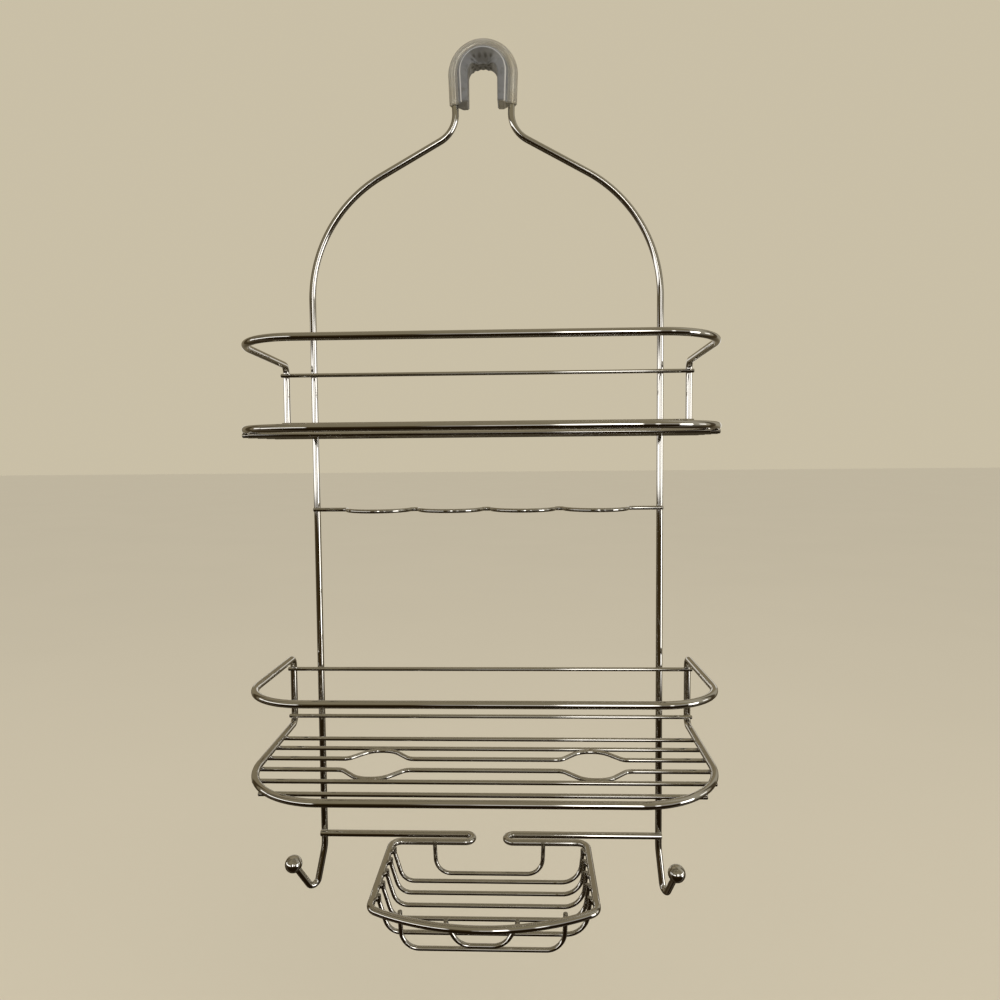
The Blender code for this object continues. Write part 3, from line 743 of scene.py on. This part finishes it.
# Section of the grip about the wire: u towards the arm, v front to back. A tube, a notch, and a liner
# with rounded edges whose inner face is throat mm away; share says how far each point moves with it.
def gripSection(throat):
    tube, rounding, start = gripShape["tube"], gripShape["edgeRound"], gripShape["linerStart"]
    half = gripShape["depth"] / 2
    upper = [arc2((0, 0), tube, math.pi, math.radians(64), 20)]
    foot, lip = upper[0][-1], np.array([start, half - rounding])
    mix = np.linspace(0, 1, 7)[1:-1, None]
    upper.append(foot * (1 - mix) + lip * mix + np.array([0.35, -0.35]) * np.sin(math.pi * mix))
    upper.append(arc2((start + rounding, half - rounding), rounding, math.pi, math.pi / 2, 7))
    side = np.linspace(start + rounding, throat - rounding, 20)[1:-1]
    upper.append(np.stack([side, np.full(18, half)], 1))
    upper.append(arc2((throat - rounding, half - rounding), rounding, math.pi / 2, 0, 7))
    face = np.linspace(half - rounding, 0, 15)[1:]
    upper.append(np.stack([np.full(14, throat), face], 1))
    upper = np.vstack(upper)
    outline = np.vstack([upper, (upper * (1, -1))[::-1][1:-1]])
    share = np.clip((outline[:, 0] - start - rounding) / (throat - start - 2 * rounding), 0, 1)
    isLiner = outline[:, 0] > 2.6
    return outline, share, isLiner


def throatOutline():
    half = gripShape["throatHalf"]
    corners = [(half, 0, gripShape["legZ"]), (half, 0, 0), (-half, 0, 0), (-half, 0, gripShape["legZ"])]
    return bentPath(corners, [0, gripShape["throatBend"], gripShape["throatBend"], 0])


# Grip: the section carried over the arch, its inner face following the throat, joined to the bore's
# circle by a flat ring at each foot. The roof's front edge sits back towards the crown, by share times
# sin^2 of the arch angle. Nubs are domes exp(-(d/reach)^4) on the throat's roof, a low seam
# runs along the tube's back, and the ends are rounded by shrinking the last rows along a quarter circle.
def gripPiece():
    radius, legZ = frameShape["archRadius"], gripShape["legZ"]
    lean = (radius - frameShape["neckHalf"]) / (archZ - frameShape["neckZ"])
    foot = np.array([radius - lean * (archZ - legZ), 0, legZ])
    arch = arcRun((0, 0, archZ), (radius, 0, archZ), (0, -1, 0), math.pi)
    path = np.vstack([[foot], arch, [foot * (-1, 1, 1)]])
    centre, tangent, _, along = stations(path, longest=0.9)
    inward = unit(np.cross(tangent, (0, 1, 0)))
    throatPoints = throatOutline()
    polar = np.arctan2(throatPoints[:, 2] - archZ, throatPoints[:, 0])
    polar = np.where(polar < -math.pi / 2, polar + 2 * math.pi, polar)
    reachAt = np.hypot(throatPoints[:, 0], throatPoints[:, 2] - archZ)
    onArch = centre[:, 2] > archZ
    phi = np.arctan2(np.maximum(centre[:, 2] - archZ, 0), centre[:, 0])
    inArch = radius - np.interp(phi, polar, reachAt)
    bend = gripShape["throatBend"]
    sink = np.clip(centre[:, 2] + bend, 0, bend)
    halfThroat = gripShape["throatHalf"] - bend + np.sqrt(bend ** 2 - sink ** 2)
    throat = np.where(onArch, inArch, np.abs(centre[:, 0]) - halfThroat)
    typical = float(throat.mean())
    outline, share, isLiner = gripSection(typical)
    u = outline[None, :, 0] + share[None] * (throat - typical)[:, None]
    crown = np.sin(phi) ** 2 * onArch
    slope = np.where(outline[:, 1] < 0, share, 0)[None] * smooth(crown, 0.2, 0.9)[:, None]
    v = outline[None, :, 1] * (1 - gripShape["crownSlope"] * slope)

    onRoof = np.maximum(smooth(outline[:, 0], typical - 0.3, typical - 0.05), smooth(slope, 0.1, 0.3))
    turnedBy = (phi - math.pi / 2)[:, None] * (radius - u)
    fromEdge = (throat[:, None] - u) * 1.6 + v
    nubs = np.zeros_like(u)
    for row, level in enumerate((-4.2, -0.4, 3.4, 7.2)):
        for x in (np.arange(4) - 1.5 + 0.5 * (row % 2)) * 4.4:
            distance = np.hypot(turnedBy - x, fromEdge - level)
            nubs = np.maximum(nubs, np.exp(-(distance / gripShape["nubReach"]) ** 4))
    nubs = nubs * onRoof * onArch[:, None]
    u = u + gripShape["nubHeight"] * nubs
    onBack = outline[:, 0] < -3.0
    ridge = np.exp(-(outline[:, 1] / 0.4) ** 2) - 1                    # the seam stands, the rest sits back
    u = u - gripShape["seam"] * (ridge * onBack)[None]

    chord = np.roll(outline, -1, 0) - np.roll(outline, 1, 0)
    outward = unit(np.stack([chord[:, 1], -chord[:, 0]], 1))
    outward *= np.sign((outward * (outline - (4, 0))).sum())
    fromEnd = np.minimum(along, along[-1] - along)
    ease = gripShape["endRound"]
    shrink = ease - np.sqrt(np.maximum(ease ** 2 - np.square(np.maximum(ease - fromEnd, 0)), 0))
    u = u - shrink[:, None] * outward[None, :, 0]
    v = v - shrink[:, None] * outward[None, :, 1]
    deep = np.array([0, 1.0, 0])
    outer = centre[:, None] + inward[:, None] * u[..., None] + deep * v[..., None]
    turnTo = np.arctan2(outline[:, 1], outline[:, 0])
    circle = gripShape["bore"] * np.stack([np.cos(turnTo), np.sin(turnTo)], 1)
    bore = centre[:, None] + inward[:, None] * circle[None, :, :1] + deep * circle[None, :, 1:]
    grid = np.concatenate([outer, bore[::-1]])
    # painted highlight: a pale line along the liner's edge where it meets the tube, on front and back
    across = np.abs(outline[:, 0] - gripShape["linerStart"] - 0.15) / 0.45
    paintedEdgeHighlight = np.exp(-across ** 2) * (np.abs(outline[:, 1]) > gripShape["depth"] / 2 - 1.6)
    bare = np.zeros(bore.shape[:2])
    values = {"paintedEdgeHighlight": np.concatenate([np.broadcast_to(paintedEdgeHighlight, bare.shape), bare]),
              # the nubs' dark colour, and painted shade on the roof's front slope towards the crown (0.4 of
              # slope)
              "nubAndPaintedShade": np.concatenate([np.maximum(nubs, 0.4 * slope), bare])}
    obj = gridMesh("moulded_grip", [grid], closeAlong=True, values=[values], crease=42)
    finishPiece(obj, [vinylMaterial("clear vinyl", "tube"), vinylMaterial("grey vinyl", "liner")],
                "vinyl_grip", "grip")
    rows, around = grid.shape[:2]
    liner = np.broadcast_to(isLiner & np.roll(isLiner, -1), (rows, around)).copy()
    liner[len(outer):] = False
    obj.data.polygons.foreach_set("material_index", liner.ravel().astype(np.int32))
    return obj


gripPiece()
print("grip moulded")

studio = {
    "floorZ": -0.80,
    "floorColour": (0.697, 0.62, 0.465, 1),
    "pale": (0.755, 0.755, 0.755, 1),        # light for everything but reflections
    "backdrop": (0.587, 0.523, 0.386, 1),
    "ceiling": (0.265, 0.228, 0.148, 1),
    "zenith": (0.27, 0.232, 0.155, 1),
    "wallTop": (0.36, 0.305, 0.21, 1),
    "backWall": (0.25, 0.207, 0.130, 1),
    "rightWall": (0.42, 0.385, 0.30, 1),
    "leftWall": (0.10, 0.078, 0.050, 1),
    "dark": (0.048, 0.031, 0.011, 1),
    "low": (0.014, 0.008, 0.003, 1),
    "window": (1.9, 1.86, 1.78, 1),
    "brightWindow": (4.2, 4.1, 3.9, 1),
    "lampPower": 9.0,
}


# Floor: one large plane, a pale colour with faint slow variation.
def stageFloor():
    mesh = bpy.data.meshes.new("studio_floor")
    z, wide = studio["floorZ"], 30.0
    corners = [(-wide, -wide, z), (wide, -wide, z), (wide, wide, z), (-wide, wide, z)]
    mesh.from_pydata(corners, [], [(0, 1, 2, 3)])
    floor = bpy.data.objects.new("studio_floor", mesh)
    bpy.context.scene.collection.objects.link(floor)
    material = bpy.data.materials.new("pale floor")
    material.use_nodes = True
    n = Nodes(material.node_tree)
    shader = material.node_tree.nodes["Principled BSDF"]
    shader.inputs["Roughness"].default_value = 0.9
    shader.inputs["Specular IOR Level"].default_value = 0.0
    slow = n.ramp(n.noise(n.add("TexCoord").outputs["Object"], 2.0, 2), 0.2, 0.8)
    tint = studio["floorColour"]
    colour = n.mix(slow, tint, tuple(0.985 * c for c in tint[:3]) + (1,))
    n.tree.links.new(colour, shader.inputs["Base Color"])
    mesh.materials.append(material)
    floor.visible_glossy = False


windows = {   # azimuth from, to and softness, then height from, to and softness
    "row": (-7.5, 58, 1.5, -3, 15, 1.5),
    "low": (-86, -20, 2.0, -3, 8, 1.2),
    "tall": (57, 76, 1.5, -17, 10, 1.5),
    "glare": (3, 10, 1.2, -3, 22, 3.0),
    "beside": (87, 100, 1.5, -2, 11, 1.2),      # on both sides
    "rear": (150, 178, 3.0, -3, 9, 1.5),
    "jamb": (110, 126, 3.0, -70, 38, 8.0),      # the dark upright between the two
}


# 1 inside a window's patch of directions and 0 outside, with soft sides.
def windowPatch(n, azimuth, height, key):
    left, right, softness, bottom, top, softHeight = windows[key]
    return n.math("MULTIPLY", n.band(height, bottom, top, softHeight), n.band(azimuth, left, right, softness))


# World: the camera sees a plain pale backdrop, the chrome a room: pale walls, olive ceiling, dark lower
# half, and windows in front, at both sides and behind. Directions as azimuth and height in degrees.
def studioWorld():
    world = bpy.data.worlds.new("soft studio")
    bpy.context.scene.world = world
    world.use_nodes = True
    n = Nodes(world.node_tree)
    back = world.node_tree.nodes["Background"]
    direction = n.add("SeparateXYZ", {0: n.add("TexCoord").outputs["Generated"]})
    x, y, z = direction.outputs
    toDegrees = 57.29578
    ahead = n.math("MULTIPLY", y, -1.0)
    azimuth = n.math("MULTIPLY", n.math("ARCTAN2", x, ahead), toDegrees)
    height = n.math("MULTIPLY", n.math("ARCSINE", z), toDegrees)
    wide = n.math("ABSOLUTE", azimuth)

    front = n.mix(n.ramp(height, 9, 16), studio["dark"], studio["ceiling"])
    front = n.mix(n.ramp(height, -24, -12, 1.0, 0.0), front, studio["low"])
    rightSide = n.math("MULTIPLY", n.ramp(azimuth, 66, 84), n.ramp(height, -30, 4, 0.25, 1.0))
    front = n.mix(rightSide, front, studio["rightWall"])
    leftSide = n.ramp(azimuth, -60, -84)
    front = n.mix(n.math("MULTIPLY", leftSide, 0.7), front, studio["leftWall"])

    level = n.ramp(height, -38, 6, 0.08, 1.0)
    wall = n.mix(level, studio["low"], studio["backWall"])
    wall = n.mix(n.ramp(height, 20, 75), wall, studio["wallTop"])
    colour = n.mix(n.ramp(wide, 86, 112), front, wall)
    aside = n.math("MULTIPLY", n.band(azimuth, 72, 148, 6.0), n.ramp(height, -14, 2))
    colour = n.mix(n.math("MULTIPLY", aside, 0.8), colour, studio["rightWall"])
    colour = n.mix(n.ramp(height, 60, 84), colour, studio["zenith"])
    colour = n.mix(n.math("MULTIPLY", windowPatch(n, wide, height, "jamb"), 0.9), colour, studio["dark"])

    pane = n.math("MULTIPLY", n.band(azimuth, -12, 3, 0.8), n.ramp(azimuth, -4.5, -3.5, 0.92, 0.70))
    bars = n.math("MAXIMUM", pane, n.band(azimuth, 9, 24, 1.5))
    bars = n.math("MAXIMUM", bars, n.math("MULTIPLY", n.band(azimuth, 30, 56, 1.5), 0.9))
    row = n.math("MULTIPLY", windowPatch(n, azimuth, height, "row"), n.ramp(bars, 0, 1, 1.0, 0.12, "LINEAR"))
    row = n.math("MAXIMUM", windowPatch(n, azimuth, height, "low"), row)
    rear = n.math("MULTIPLY", windowPatch(n, wide, height, "rear"), 0.35)
    beside = n.math("MULTIPLY", windowPatch(n, wide, height, "beside"), 0.8)
    lit = n.math("MAXIMUM", n.math("MAXIMUM", row, rear), beside)
    bright = [windowPatch(n, azimuth, height, key) for key in ("tall", "glare")]
    colour = n.mix(lit, colour, studio["window"])
    colour = n.mix(n.math("MAXIMUM", *bright), colour, studio["brightWindow"])

    path = n.add("LightPath")
    seen = n.mix(path.outputs["Is Glossy Ray"], studio["pale"], colour)
    seen = n.mix(path.outputs["Is Camera Ray"], seen, studio["backdrop"])
    n.tree.links.new(seen, back.inputs["Color"])
    back.inputs["Strength"].default_value = 1.0


# Soft lamps: large squares aimed at the middle of the object, kept out of reflections.
def softLamp(name, place, size, power):
    light = bpy.data.lights.new(name, "AREA")
    light.shape, light.size, light.energy = "SQUARE", size, power
    light.color = (1.0, 0.97, 0.92)
    lamp = bpy.data.objects.new(name, light)
    bpy.context.scene.collection.objects.link(lamp)
    back = unit(np.array(place) - middle)
    right = unit(np.cross((0, 0, 1), back))
    columns = np.stack([right, np.cross(back, right), back], 1)
    lamp.matrix_world = Matrix.Translation(place) @ Matrix(columns.tolist()).to_4x4()
    lamp.visible_glossy = False
    lamp.visible_camera = False


cameraShape = {
    "place": (0.02885, -0.5490, -0.2910),
    "right": (0.99939, 0.03401, -0.00859),
    "forward": (-0.03444, 0.99784, -0.05607),
    "lens": 25.93,
}


def placeCamera():
    right, forward = unit(cameraShape["right"]), unit(cameraShape["forward"])
    up = unit(np.cross(right, forward))
    right = np.cross(forward, up)
    data = bpy.data.cameras.new("main camera")
    data.lens, data.sensor_width, data.sensor_fit = cameraShape["lens"], 36.0, "HORIZONTAL"
    data.clip_start = 0.01
    camera = bpy.data.objects.new("main camera", data)
    bpy.context.scene.collection.objects.link(camera)
    columns = np.stack([right, up, -forward], 1)
    camera.matrix_world = Matrix.Translation(cameraShape["place"]) @ Matrix(columns.tolist()).to_4x4()
    bpy.context.scene.camera = camera


middle = (np.array(cadLow) + np.array(cadHigh)) / 2
stageFloor()
studioWorld()
softLamp("key lamp", (1.0, -1.4, 0.9), 1.2, studio["lampPower"])
softLamp("fill lamp", (-1.3, -1.0, 0.5), 1.4, 0.5 * studio["lampPower"])
placeCamera()
bpy.context.scene.view_settings.view_transform = "Standard"
print("studio ready")
